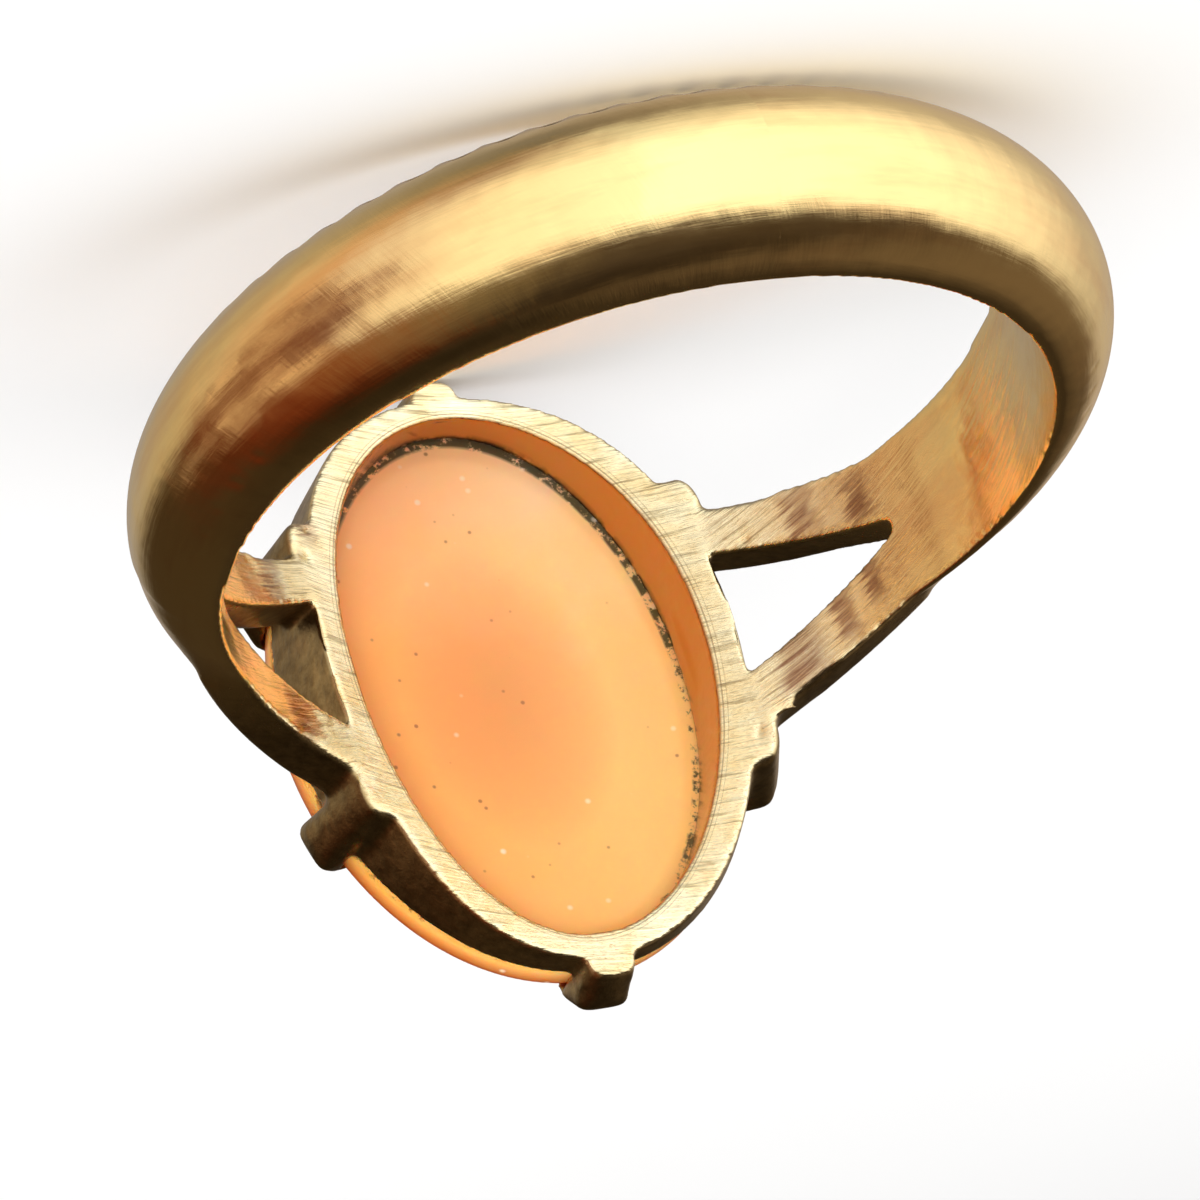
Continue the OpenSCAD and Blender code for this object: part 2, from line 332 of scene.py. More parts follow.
wall = oval_rod(frame_w, frame_l, frame_z, seat_z)
choose(wall, "FACE", looks_up)
bpy.ops.transform.resize(value=(seat_w / frame_w, seat_l / frame_l, 1))
bpy.ops.object.mode_set(mode="OBJECT")
opening = oval_rod(opening_w, opening_l, 0, 2 * seat_z)
cut(wall, opening, finger)
discard(opening)

# Six cast claws hold the shell, one at each end and four beside the arms. Each has a rounded
# lug on the setting's back and a tip that was pushed over the rim with a burnisher.
cameo_w = 10.4
cameo_l = 13.7
rim_t = 0.9
clearance = 0.06
claw_w = 1.2
end_claw_t = 0.95
side_claw_t = 0.75
claw_slant = math.radians(15)
claw_lean = math.radians(9)
claw_reach = 0.55
claw_tip_t = 0.3
claw_tip_out = 0.1
claw_place = 2.9
claw_round = 0.4
claw_on_wall = 0.2
rim_z = seat_z + clearance + rim_t
knee_z = seat_z + rim_t / 3
claw_top_z = rim_z + claw_tip_t
round_below_z = seat_z + 0.2
voxel = 0.07


def oval_x(width, length, y):
    """Half the width of an oval at a distance along it from its middle."""
    return width / 2 * math.sqrt(1 - (2 * y / length) ** 2)


def claw(thick, root, low_z):
    """One claw, pointing along X, with the cameo's rim at X = 0."""
    middle = ((thick - root) / 2, 0, (low_z + seat_z) / 2)
    bpy.ops.mesh.primitive_cube_add(size=1, location=middle, scale=(thick + root, claw_w, seat_z - low_z))
    post = set_in_place(bpy.context.object)
    choose(post, "FACE", looks_up)
    bpy.ops.mesh.extrude_region_move(TRANSFORM_OT_translate={"value": (0, 0, knee_z - seat_z)})
    bpy.ops.mesh.extrude_region_move(TRANSFORM_OT_translate={"value": (0, 0, claw_top_z - knee_z)})
    tip_out = claw_tip_out * thick
    bpy.ops.transform.resize(value=((claw_reach + tip_out) / (thick + root), 1, 1))
    bpy.ops.transform.translate(value=((tip_out - claw_reach - thick + root) / 2, 0, 0))
    choose(post, "VERT", lambda vertex: vertex.co.z < low_z + near and vertex.co.x > 0)
    bpy.ops.transform.translate(value=(-math.tan(claw_slant) * (seat_z - low_z), 0, 0))
    bpy.ops.object.mode_set(mode="OBJECT")
    modify(post, "BEVEL", width=claw_round, segments=4, limit_method="ANGLE",
           angle_limit=math.radians(25))
    return post


end_root = (cameo_l - opening_l) / 2 - claw_on_wall * (frame_l - opening_l) / 2
side_x = oval_x(cameo_w, cameo_l, claw_place)
side_turn = math.atan2(claw_place / cameo_l ** 2, side_x / cameo_w ** 2)
side_root = side_x - (oval_x(opening_w, opening_l, claw_place) + oval_x(frame_w, frame_l, claw_place)) / 2
side_low_z = math.sqrt(finger_r ** 2 - (side_x + side_claw_t) ** 2) - overrun
end_claw = claw(end_claw_t, end_root, finger_r - overrun)
end_claw.location = (0, cameo_l / 2, 0)
end_claw.rotation_euler = (0, 0, math.pi / 2)
side_claw = claw(side_claw_t, side_root, side_low_z)
side_claw.matrix_world = (Matrix.Translation((side_x, claw_place, seat_z))
                          @ Matrix.Rotation(side_turn, 4, "Z") @ Matrix.Rotation(claw_lean, 4, "X")
                          @ Matrix.Translation((0, 0, -seat_z)))
claws = [set_in_place(end_claw), set_in_place(side_claw)]
claws.append(mirrored(end_claw, 1))
claws.append(mirrored(side_claw, 0))
claws.extend([mirrored(claws[1], 1), mirrored(claws[3], 1)])
claws = fuse("claws", claws)
modify(claws, "REMESH", mode="VOXEL", voxel_size=voxel)

# The lugs were cast round. The tips above the seat keep their shape
choose(claws, "VERT", lambda vertex: vertex.co.z < round_below_z)
bpy.ops.mesh.vertices_smooth(factor=0.5, repeat=60)
bpy.ops.object.mode_set(mode="OBJECT")
pocket = oval_rod(cameo_w + 2 * clearance, cameo_l + 2 * clearance, seat_z, rim_z + clearance)
cut(claws, pocket, finger)
discard(pocket, finger)

# Band, arms, setting and claws are soldered to one mount, so they are fused here. Solder
# fills the corners and left pits and a burr, and wear has rounded the edges.
most_triangles = 195000
blend_low_z = 2.2
blend_high_z = 4.9
blend_from_r = finger_r + 0.3
lug_low_z = 5.5
lug_high_z = seat_z - 0.1
lug_share = 1.04
lug_from_y = 2.2


def lump(run, y, sizes, turn, sink):
    """A small egg on the finger side of the metal, at a distance round the hole and along it."""
    bpy.ops.mesh.primitive_uv_sphere_add(segments=24, ring_count=12, radius=1, location=(0, 0, 0),
                                         scale=sizes)
    egg = set_in_place(bpy.context.object)
    egg.matrix_world = (Matrix.Rotation(run / finger_r, 4, "Y")
                        @ Matrix.Translation((0, y, finger_r + sink)) @ Matrix.Rotation(turn, 4, "Z"))
    return set_in_place(egg)


burrs = [
    lump(4.95, 2.62, (0.3, 0.09, 0.1), 0.25, 0.02),
    lump(5.35, 2.72, (0.35, 0.08, 0.1), 0.1, 0.04),
    lump(4.75, 2.8, (0.12, 0.25, 0.1), 0.2, 0.04),
]
mount = fuse("gold_mount", [band, *arms, wall, claws, *burrs])
pits = fuse("pits", [
    lump(4.8, -2.78, (0.08, 0.36, 0.35), -0.35, -0.02),
    lump(5.67, -1.46, (0.13, 0.09, 0.08), 0, 0),
    lump(-4.42, -3.45, (0.17, 0.13, 0.14), 0.4, 0),
    lump(-4.67, -2.71, (0.19, 0.14, 0.16), 0.2, 0),
    lump(4.62, 2.95, (0.1, 0.3, 0.16), 0.3, 0),
    lump(-4.8, 2.85, (0.14, 0.12, 0.12), 0, 0),
])
modify(mount, "REMESH", mode="VOXEL", voxel_size=voxel)
cut(mount, pits)
discard(pits)
modify(mount, "REMESH", mode="VOXEL", voxel_size=voxel)


def on_shoulder(vertex):
    """Whether a vertex lies where the band's dome runs into an arm, outside."""
    return blend_low_z < vertex.co.z < blend_high_z and math.hypot(vertex.co.x, vertex.co.z) > blend_from_r


def on_lug(vertex):
    """Whether a vertex lies on a lug's root, beyond the setting's wall and below the seat."""
    outside = math.hypot(2 * vertex.co.x / frame_w, 2 * vertex.co.y / frame_l) > lug_share
    return outside and lug_low_z < vertex.co.z < lug_high_z and abs(vertex.co.y) > lug_from_y


choose(mount, "VERT", on_shoulder)
bpy.ops.mesh.vertices_smooth(factor=0.5, repeat=120)
choose(mount, "VERT", on_lug)
bpy.ops.mesh.vertices_smooth(factor=0.5, repeat=25)
bpy.ops.object.mode_set(mode="OBJECT")
modify(mount, "SMOOTH", factor=0.5, iterations=5)
modify(mount, "DECIMATE", ratio=min(1, most_triangles / (2 * len(mount.data.polygons))))

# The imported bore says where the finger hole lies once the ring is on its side
finger_line = Vector(bore["axis"]).normalized()
across = Vector((1, 0, 0))
stood_up = Matrix((across, finger_line, across.cross(finger_line)))
laid_down = (Matrix.Translation(bore["pos_m"]) @ stood_up.transposed().to_4x4()
             @ Matrix.Scale(0.001, 4))


def lay_down(piece):
    """Lays a finished piece on its side, in metres, and shades it smooth."""
    set_in_place(piece)
    piece.matrix_world = laid_down
    set_in_place(piece)
    bpy.ops.object.shade_smooth()


lay_down(mount)
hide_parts("ring_mount")
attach(mount, "root")

# Nine carat gold is pale yellow. The outside was polished with rouge and worn since, so it
# mirrors softly under hair scratches. The setting's back and the inside of the arms keep their
# file strokes. The cast claws and the outside of the wall are dull and dark with old polish, and
# their darkness is also a painted dark reflection and painted shade.


def colour(code):
    """A colour from its sRGB hex value, as the shader wants it."""
    shares = [int(code[i:i + 2], 16) / 255 for i in (1, 3, 5)]
    return [s / 12.92 if s <= 0.04045 else ((s + 0.055) / 1.055) ** 2.4 for s in shares] + [1]


def add(material, kind, links=None, **settings):
    """Adds a node with its settings. Its inputs take values, sockets or whole nodes."""
    tree = material.node_tree
    node = tree.nodes.new(kind)
    for name, value in settings.items():
        setattr(node, name, value)
    for name, value in (links or {}).items():
        if isinstance(value, bpy.types.Node):
            value = value.outputs[0]
        if isinstance(value, bpy.types.NodeSocket):
            tree.links.new(value, node.inputs[name])
        else:
            node.inputs[name].default_value = value
    return node


def start_material(name):
    """An empty material, and its own place in millimetres before the ring was laid down."""
    material = bpy.data.materials.new(name)
    material.use_nodes = True
    material.node_tree.nodes.clear()
    place, turn, size = laid_down.inverted().decompose()
    own = add(material, "ShaderNodeMapping", {
        "Vector": add(material, "ShaderNodeTexCoord").outputs["Object"],
        "Location": place, "Rotation": turn.to_euler(), "Scale": size})
    return material, own


gold, own = start_material("worn_nine_carat_gold")
x, y, z = add(gold, "ShaderNodeSeparateXYZ", {0: own}).outputs
radius = add(gold, "ShaderNodeVectorMath", {0: add(gold, "ShaderNodeCombineXYZ", {"X": x, "Y": z})},
             operation="LENGTH").outputs["Value"]
turn = add(gold, "ShaderNodeMath", {0: x, 1: z}, operation="ARCTAN2")
run = add(gold, "ShaderNodeMath", {0: turn, 1: finger_r}, operation="MULTIPLY")
unrolled = add(gold, "ShaderNodeCombineXYZ", {"X": run, "Y": y, "Z": radius})

# How far a point lies outside the edge of the setting's opening, seen from the back
share = add(gold, "ShaderNodeVectorMath", {0: own, 1: (2 / opening_w, 2 / opening_l, 0)},
            operation="MULTIPLY")
share = add(gold, "ShaderNodeVectorMath", {0: share}, operation="LENGTH").outputs["Value"]
reach = add(gold, "ShaderNodeVectorMath", {0: own, 1: (1, 1, 0)}, operation="MULTIPLY")
reach = add(gold, "ShaderNodeVectorMath", {0: reach}, operation="LENGTH").outputs["Value"]
edge = add(gold, "ShaderNodeMath", {0: reach, 1: share}, operation="DIVIDE")
from_edge = add(gold, "ShaderNodeMath", {0: reach, 1: edge}, operation="SUBTRACT")

# The finger side, the head's height, the opening's wall, and what is left as it was cast
inside = add(gold, "ShaderNodeMapRange", {"Value": radius, "From Min": finger_r + 0.03,
                                          "From Max": finger_r + 0.14, "To Min": 1, "To Max": 0})
upper = add(gold, "ShaderNodeMapRange", {"Value": z, "From Min": 3.5, "From Max": 6.5})
in_opening = add(gold, "ShaderNodeMapRange", {"Value": from_edge, "From Min": 0.02, "From Max": 0.08,
                                              "To Min": 1, "To Max": 0})
in_opening = add(gold, "ShaderNodeMath", {0: in_opening, 1: upper}, operation="MULTIPLY")
cast = add(gold, "ShaderNodeMath", {0: upper, 1: inside}, operation="SUBTRACT", use_clamp=True)
cast = add(gold, "ShaderNodeMath", {0: cast, 1: in_opening}, operation="SUBTRACT", use_clamp=True)

# Hair scratches run round the band or cross it. Real ones are about 0.02 mm wide, too fine to
# show, so they are drawn 0.1 mm wide. File strokes lie aslant on the flat faces, 0.1 mm apart.
hairs = add(gold, "ShaderNodeTexNoise", {
    "Vector": add(gold, "ShaderNodeMapping", {"Vector": unrolled, "Scale": (0.35, 9, 2)}),
    "Scale": 1, "Detail": 6, "Roughness": 0.65})
cross = add(gold, "ShaderNodeTexNoise", {
    "Vector": add(gold, "ShaderNodeMapping", {
        "Vector": add(gold, "ShaderNodeMapping", {"Vector": unrolled, "Rotation": (0, 0, 1.2)}),
        "Scale": (0.6, 14, 2)}),
    "Scale": 1, "Detail": 5, "Roughness": 0.6})
strokes, file_marks = [add(gold, "ShaderNodeTexNoise", {
    "Vector": add(gold, "ShaderNodeMapping", {
        "Vector": add(gold, "ShaderNodeMapping", {"Vector": unrolled, "Rotation": (0, 0, aim)}),
        "Scale": (0.5, width, 1)}),
    "Scale": 1, "Detail": 4, "Roughness": 0.6}).outputs["Fac"] for aim, width in ((0.25, 11), (-0.15, 9))]
on_arms = add(gold, "ShaderNodeMath", {0: run}, operation="ABSOLUTE")
on_arms = add(gold, "ShaderNodeMapRange", {"Value": on_arms, "From Min": 4.7, "From Max": 5})
marks = add(gold, "ShaderNodeMix", {"Factor": on_arms, "A": file_marks, "B": strokes})

# Patches of dirt about a millimetre wide, smears of the polishing mop, and the hand-made waves
# of the surface. The pores of the casting are near 0.1 mm, and are drawn 0.3 mm wide to show.
patches = add(gold, "ShaderNodeTexNoise", {"Vector": own, "Scale": 0.9, "Detail": 4, "Roughness": 0.6})
smears = add(gold, "ShaderNodeTexNoise", {
    "Vector": add(gold, "ShaderNodeMapping", {"Vector": unrolled, "Scale": (0.25, 1.3, 1)}),
    "Scale": 1, "Detail": 4, "Roughness": 0.6})
pores = add(gold, "ShaderNodeTexNoise", {"Vector": own, "Scale": 3.5, "Detail": 5, "Roughness": 0.65})
waves = add(gold, "ShaderNodeTexNoise", {"Vector": own, "Scale": 0.7, "Detail": 2, "Roughness": 0.5})

# Two faint hairlines were cut round the opening with a graver, just outside its edge
hairline = add(gold, "ShaderNodeMath", {
    0: add(gold, "ShaderNodeMath", {0: from_edge, 1: 0.21, 2: 0.012}, operation="COMPARE"),
    1: 0.4, 2: add(gold, "ShaderNodeMath", {0: from_edge, 1: 0.12, 2: 0.015}, operation="COMPARE")},
    operation="MULTIPLY_ADD")
for where in (inside, upper):
    hairline = add(gold, "ShaderNodeMath", {0: hairline, 1: where}, operation="MULTIPLY")

# The cut scallops hold dark polish, along the unworn edge of the dome and below the shoulders
crown_turn = add(gold, "ShaderNodeMath", {
    0: x, 1: add(gold, "ShaderNodeMath", {0: z, 1: -1, 2: -crown_shift}, operation="MULTIPLY_ADD")},
    operation="ARCTAN2")
scallop_step = scallop_end * 2 / scallop_count
phase = add(gold, "ShaderNodeMath", {0: crown_turn, 1: scallop_step}, operation="DIVIDE")
phase = add(gold, "ShaderNodeMath", {0: phase, 1: 0.5, 2: -0.5}, operation="WRAP")
off_line = add(gold, "ShaderNodeMath", {0: add(gold, "ShaderNodeMath", {0: y}, operation="ABSOLUTE"),
                                        1: scallop_y}, operation="SUBTRACT")
off_line = add(gold, "ShaderNodeMath", {0: off_line, 1: 1 / math.cos(scallop_turn)}, operation="MULTIPLY")
from_middle = add(gold, "ShaderNodeCombineXYZ", {
    "X": add(gold, "ShaderNodeMath", {0: phase, 1: scallop_pitch / scallop_size[0]},
             operation="MULTIPLY"),
    "Y": add(gold, "ShaderNodeMath", {0: off_line, 1: 1 / scallop_size[1]}, operation="MULTIPLY")})
scallop_way = add(gold, "ShaderNodeVectorMath", {0: from_middle}, operation="LENGTH").outputs["Value"]
in_scallop = add(gold, "ShaderNodeMapRange", {"Value": scallop_way, "From Min": 0.5, "From Max": 1,
                                              "To Min": 0.95, "To Max": 0})
low_down = add(gold, "ShaderNodeMapRange", {"Value": z, "From Min": 3.2, "From Max": 3.6,
                                            "To Min": 1, "To Max": 0})
far_side = add(gold, "ShaderNodeMapRange", {"Value": y, "From Min": -0.1, "From Max": 0.1,
                                            "To Min": 1, "To Max": 0})
strip = add(gold, "ShaderNodeMapRange", {
    "Value": add(gold, "ShaderNodeMath", {0: off_line}, operation="ABSOLUTE"),
    "From Min": 0.2, "From Max": 0.5, "To Min": 0.4, "To Max": 0})
in_scallop = add(gold, "ShaderNodeMath", {0: in_scallop, 1: strip}, operation="MAXIMUM")
domed = add(gold, "ShaderNodeMapRange", {"Value": radius, "From Min": finger_r + 0.3,
                                         "From Max": finger_r + 0.5})
for where in (low_down, far_side, domed):
    in_scallop = add(gold, "ShaderNodeMath", {0: in_scallop, 1: where}, operation="MULTIPLY")

# The relief of each finish: hair scratches outside, file strokes inside, pores on the castings
smooth_height = add(gold, "ShaderNodeMath", {0: cross, 1: 0.6, 2: hairs}, operation="MULTIPLY_ADD")
rough_height = add(gold, "ShaderNodeMath", {0: pores, 1: 5}, operation="MULTIPLY")
filed_depth = add(gold, "ShaderNodeMapRange", {"Value": z, "From Min": 3.5, "From Max": 6.5,
                                               "To Min": 3, "To Max": 9})
filed_height = add(gold, "ShaderNodeMath", {0: marks, 1: filed_depth}, operation="MULTIPLY")
height = add(gold, "ShaderNodeMix", {"Factor": inside, "A": smooth_height, "B": filed_height})
height = add(gold, "ShaderNodeMix", {"Factor": cast, "A": height, "B": rough_height})
height = add(gold, "ShaderNodeMath", {0: hairline, 1: -3, 2: height}, operation="MULTIPLY_ADD")
bump = add(gold, "ShaderNodeBump", {"Height": height, "Strength": 0.5, "Distance": 0.00001})
wavy = add(gold, "ShaderNodeBump", {"Height": waves, "Strength": 0.5, "Distance": 0.0001, "Normal": bump})

# Polished gold is warmer where the mop left smears
warm = add(gold, "ShaderNodeMapRange", {"Value": smears, "From Min": 0.5, "From Max": 0.75, "To Max": 0.6})
tint = add(gold, "ShaderNodeMix", {"Factor": warm, "A": colour("#FDE6AD"), "B": colour("#EBC08C")},
           data_type="RGBA").outputs["Result"]

# The head's finger side was filed bright, so it is paler than the rest: fresh filed metal, and a painted
# sheen for the light its file strokes scatter
filed = add(gold, "ShaderNodeMath", {0: upper, 1: inside}, operation="MULTIPLY")
filed_tint_and_sheen = add(gold, "ShaderNodeMapRange", {"Value": patches, "From Min": 0.35, "From Max": 0.65})
filed_tint_and_sheen = add(gold, "ShaderNodeMix", {
    "Factor": filed_tint_and_sheen, "A": colour("#FFFFE6"), "B": colour("#FCEEC4")}, data_type="RGBA")
filed_tint_and_sheen = filed_tint_and_sheen.outputs["Result"]
tint = add(gold, "ShaderNodeMix", {"Factor": filed, "A": tint, "B": filed_tint_and_sheen},
           data_type="RGBA").outputs["Result"]
deep = add(gold, "ShaderNodeMapRange", {"Value": marks, "From Min": 0.56, "From Max": 0.63, "To Max": 0.6})
deep = add(gold, "ShaderNodeMath", {0: deep, 1: filed}, operation="MULTIPLY")
strength = add(gold, "ShaderNodeMapRange", {"Value": patches, "From Min": 0.4, "From Max": 0.58,
                                            "To Min": 0.35})
deep = add(gold, "ShaderNodeMath", {0: deep, 1: strength}, operation="MULTIPLY")

# Tarnish has left plum-brown patches between the file strokes, with ragged ends. Each is
# (distance round the hole, along it, half its length, half its width).
stains = [
    (6.0, 1.85, 0.55, 0.7), (7.3, 1.3, 0.25, 0.6), (8.2, 0.85, 0.2, 0.5), (7.05, -1.4, 0.35, 0.6),
    (8.5, -0.95, 0.3, 0.5), (-6.5, 1.7, 0.3, 0.6), (-6.1, -1.7, 0.35, 0.7), (-4.4, -3.6, 0.25, 0.5),
]
ragged = add(gold, "ShaderNodeMath", {0: strokes, 1: 0.5}, operation="SUBTRACT")
ragged = add(gold, "ShaderNodeMath", {0: ragged, 1: 1.3, 2: run}, operation="MULTIPLY_ADD")
stain = 0
for run_place, y_place, half_length, half_width in stains:
    aside = add(gold, "ShaderNodeCombineXYZ", {"X": ragged, "Y": y})
    aside = add(gold, "ShaderNodeVectorMath", {0: aside, 1: (run_place, y_place, 0)},
                operation="SUBTRACT")
    aside = add(gold, "ShaderNodeVectorMath", {0: aside}, operation="ABSOLUTE")
    aside = add(gold, "ShaderNodeVectorMath", {0: aside, 1: (1 / half_length, 1 / half_width, 0)},
                operation="MULTIPLY")
    aside = add(gold, "ShaderNodeSeparateXYZ", {0: aside})
    aside = add(gold, "ShaderNodeMath", {0: aside.outputs[0], 1: aside.outputs[1]}, operation="MAXIMUM")
    patch = add(gold, "ShaderNodeMapRange", {"Value": aside, "From Min": 0.6, "From Max": 1.4,
                                             "To Min": 0.8, "To Max": 0})
    stain = add(gold, "ShaderNodeMath", {0: stain, 1: patch}, operation="MAXIMUM")
in_strokes = add(gold, "ShaderNodeMapRange", {"Value": strokes, "From Min": 0.4, "From Max": 0.6,
                                              "To Min": 0.5})
for where in (in_strokes, inside):
    stain = add(gold, "ShaderNodeMath", {0: stain, 1: where}, operation="MULTIPLY")

# Old polish has turned dark on the castings, darkest on the claws and in the scallops. On the
# castings and claws the darkening is also a painted dark reflection and painted shade
grime_and_dark_reflection = add(gold, "ShaderNodeMapRange", {"Value": pores, "From Min": 0.3, "From Max": 0.7,
                                         "To Min": 0.5, "To Max": 0.9})
grime_and_dark_reflection = add(gold, "ShaderNodeMath", {0: grime_and_dark_reflection, 1: cast}, operation="MULTIPLY")
claw_grime_and_shade = add(gold, "ShaderNodeMapRange", {"Value": from_edge, "From Min": 0.8, "From Max": 1,
                                            "To Max": 0.4})
claw_grime_and_shade = add(gold, "ShaderNodeMath", {0: claw_grime_and_shade, 1: cast}, operation="MULTIPLY")
engraved = add(gold, "ShaderNodeMath", {0: hairline, 1: 0.45}, operation="MULTIPLY")

# Wax and soap have dried to a dark green crust where the shell meets the wall, with painted
# shadow of the joint mixed in
joint = add(gold, "ShaderNodeMapRange", {"Value": z, "From Min": seat_z - 0.35, "From Max": seat_z - 0.05})
joint = add(gold, "ShaderNodeMath", {0: joint, 1: in_opening}, operation="MULTIPLY")
crust_and_joint_shadow = add(gold, "ShaderNodeMapRange", {"Value": patches, "From Min": 0.47, "From Max": 0.53})
crust_and_joint_shadow = add(gold, "ShaderNodeMath", {0: joint, 1: crust_and_joint_shadow}, operation="MULTIPLY")

# Each tone lies over the ones before it: marks, stains, dull castings and claws with their painted
# dark reflection, scallops, hairlines, the shell's warm glow painted as a reflection on the
# opening's wall, and the crust with its painted joint shadow
for layer, code in (
        (deep, "#80704C"), (stain, "#8E6050"), (grime_and_dark_reflection, "#766444"), (claw_grime_and_shade, "#4A3E2C"),
        (in_scallop, "#4A3E2C"), (engraved, "#7A5A30"), (in_opening, "#BC8852"), (crust_and_joint_shadow, "#1F2414")):
    tint = add(gold, "ShaderNodeMix", {"Factor": layer, "A": tint, "B": colour(code)},
               data_type="RGBA").outputs["Result"]

# Scratches make the polish a little duller, and the castings were never polished
rough = add(gold, "ShaderNodeMapRange", {"Value": hairs, "From Min": 0.3, "From Max": 0.7,
                                         "To Min": 0.12, "To Max": 0.22})
rough = add(gold, "ShaderNodeMath", {0: cast, 1: 0.16, 2: rough}, operation="MULTIPLY_ADD")
shader = add(gold, "ShaderNodeBsdfPrincipled", {"Base Color": tint, "Metallic": 1, "Roughness": rough,
                                                "Normal": wavy})
add(gold, "ShaderNodeOutputMaterial", {"Surface": shader})
mount.data.materials.clear()
mount.data.materials.append(gold)

# The cameo is carved from helmet shell. The carver leaves the shell's white outer layer as the
# rose and leaves, cuts down to the warm layer for the ground, and grinds the back hollow.
rim_round = 0.25
dome_h = 0.45
relief_h = 1.1
hollow_h = 0.4
border_w = 0.75
hollow_margin = 0.3
cap_sink = 2
cameo_voxel = 0.065
petal_cup = 0.32
petal_t = 0.13
petal_lean = -0.12
petal_sink = 0.12
petal_overlap = 1.25


def shallow_cap(width, length, base_z, rise):
    """A shallow oval cap that rises from a height."""
    spread = 1 / math.sqrt(1 - (cap_sink / (cap_sink + rise)) ** 2)
    bpy.ops.mesh.primitive_uv_sphere_add(segments=128, ring_count=96, radius=1,
                                         location=(0, 0, base_z - cap_sink),
                                         scale=(spread * width / 2, spread * length / 2, cap_sink + rise))
    cap = set_in_place(bpy.context.object)
    trim(cap, (0, 0, base_z - 0.1), (0, 0, -1))
    return cap


disc = oval_rod(cameo_w, cameo_l, seat_z + clearance, rim_z)
choose(disc, "EDGE", lambda edge: abs(disc.data.vertices[edge.vertices[0]].co.z
                                      - disc.data.vertices[edge.vertices[1]].co.z) < 0.01)
bpy.ops.mesh.bevel(offset=rim_round, segments=5, affect="EDGES")
bpy.ops.object.mode_set(mode="OBJECT")
hollow = shallow_cap(opening_w - 2 * hollow_margin, opening_l * (1 - 2 * hollow_margin / opening_w),
                     seat_z + clearance, hollow_h)
cut(disc, hollow)
discard(hollow)
ground = shallow_cap(cameo_w - 2 * border_w, cameo_l * (1 - 2 * border_w / cameo_w), rim_z, dome_h)


def ground_z(x, y):
    """Height of the domed ground at a place."""
    field = 1 - 2 * border_w / cameo_w
    share = math.hypot(2 * x / cameo_w, 2 * y / cameo_l) / field
    return rim_z + dome_h * max(0, 1 - share ** 2)


def petal(width, length):
    """One cupped petal, lying along X with its foot at X = 0."""
    bpy.ops.mesh.primitive_uv_sphere_add(segments=32, ring_count=16, radius=1, location=(0, 0, 0),
                                         scale=(length / 2, width / 2, petal_cup))
    leaf = set_in_place(bpy.context.object)
    choose(leaf, "VERT", lambda vertex: True)
    bpy.ops.mesh.bisect(plane_co=(0, 0, 0), plane_no=(0, 0, 1), clear_outer=True)
    bpy.ops.mesh.select_all(action="SELECT")
    bpy.ops.transform.translate(value=(length / 2, 0, 0))
    bpy.ops.object.mode_set(mode="OBJECT")
    modify(leaf, "SOLIDIFY", thickness=petal_t, offset=1)
    return leaf


# Rings of petals from the outside in, each as (how many, first angle, radius, height of the edge)
carving = []
rings = [(6, 0, 3.1, 0.46), (5, 33, 2.35, 0.68), (4, 10, 1.6, 0.9), (3, 55, 0.95, 1.08)]
for count, first, radius, height in rings:
    length = 0.62 * radius
    foot = radius - length
    petal_of_ring = petal(petal_overlap * 2 * math.pi * 0.72 * radius / count, length)
    for k in range(count):
        turn = math.radians(first + 360 * k / count)
        middle = (foot + length / 2) * Vector((math.cos(turn), math.sin(turn), 0))
        one = copy_of(petal_of_ring)
        one.location = (foot * math.cos(turn), foot * math.sin(turn),
                        ground_z(middle.x, middle.y) + relief_h * height - petal_sink)
        one.rotation_euler = (0, petal_lean, turn)
        carving.append(set_in_place(one))
    discard(petal_of_ring)
    bpy.ops.mesh.primitive_uv_sphere_add(segments=48, ring_count=24, radius=1,
                                         location=(0, 0, rim_z),
                                         scale=(0.92 * radius, 0.92 * radius,
                                                dome_h + relief_h * height - 0.25))
    heart = set_in_place(bpy.context.object)
    trim(heart, (0, 0, rim_z - 0.1), (0, 0, -1))
    carving.append(heart)

# Leaves in one quarter, as (place across and along, aim, half its length and width, height). They
# are mirrored to the other quarters, and the first one lies on the middle line.
leaves = [
    (0, 0.62, 90, 0.27, 0.15, 0.55),
    (0.32, 0.5, 55, 0.26, 0.14, 0.5),
    (0.58, 0.31, 35, 0.2, 0.12, 0.42),
]
half = cameo_w / 2
for across_share, along_share, aim, half_l, half_w, height in leaves:
    place = Vector((across_share * half, along_share * cameo_l / 2, 0))
    place.z = ground_z(place.x, place.y)
    bpy.ops.mesh.primitive_uv_sphere_add(segments=32, ring_count=16, radius=1, location=place,
                                         rotation=(0, 0, math.radians(aim)),
                                         scale=(half_l * half, half_w * half, height * relief_h))
    leaf = set_in_place(bpy.context.object)
    trim(leaf, (0, 0, rim_z - 0.1), (0, 0, -1))
    pair = [leaf]
    if across_share:
        pair.append(mirrored(leaf, 0))
    for leaf in pair:
        carving.extend([leaf, mirrored(leaf, 1)])

cameo = fuse("shell_cameo", [disc, ground, *carving])
modify(cameo, "REMESH", mode="VOXEL", voxel_size=cameo_voxel)
modify(cameo, "SMOOTH", factor=0.5, iterations=3)
modify(cameo, "DECIMATE", ratio=min(1, most_triangles / (2 * len(cameo.data.polygons))))
lay_down(cameo)
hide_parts("cameo")
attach(cameo, "root")

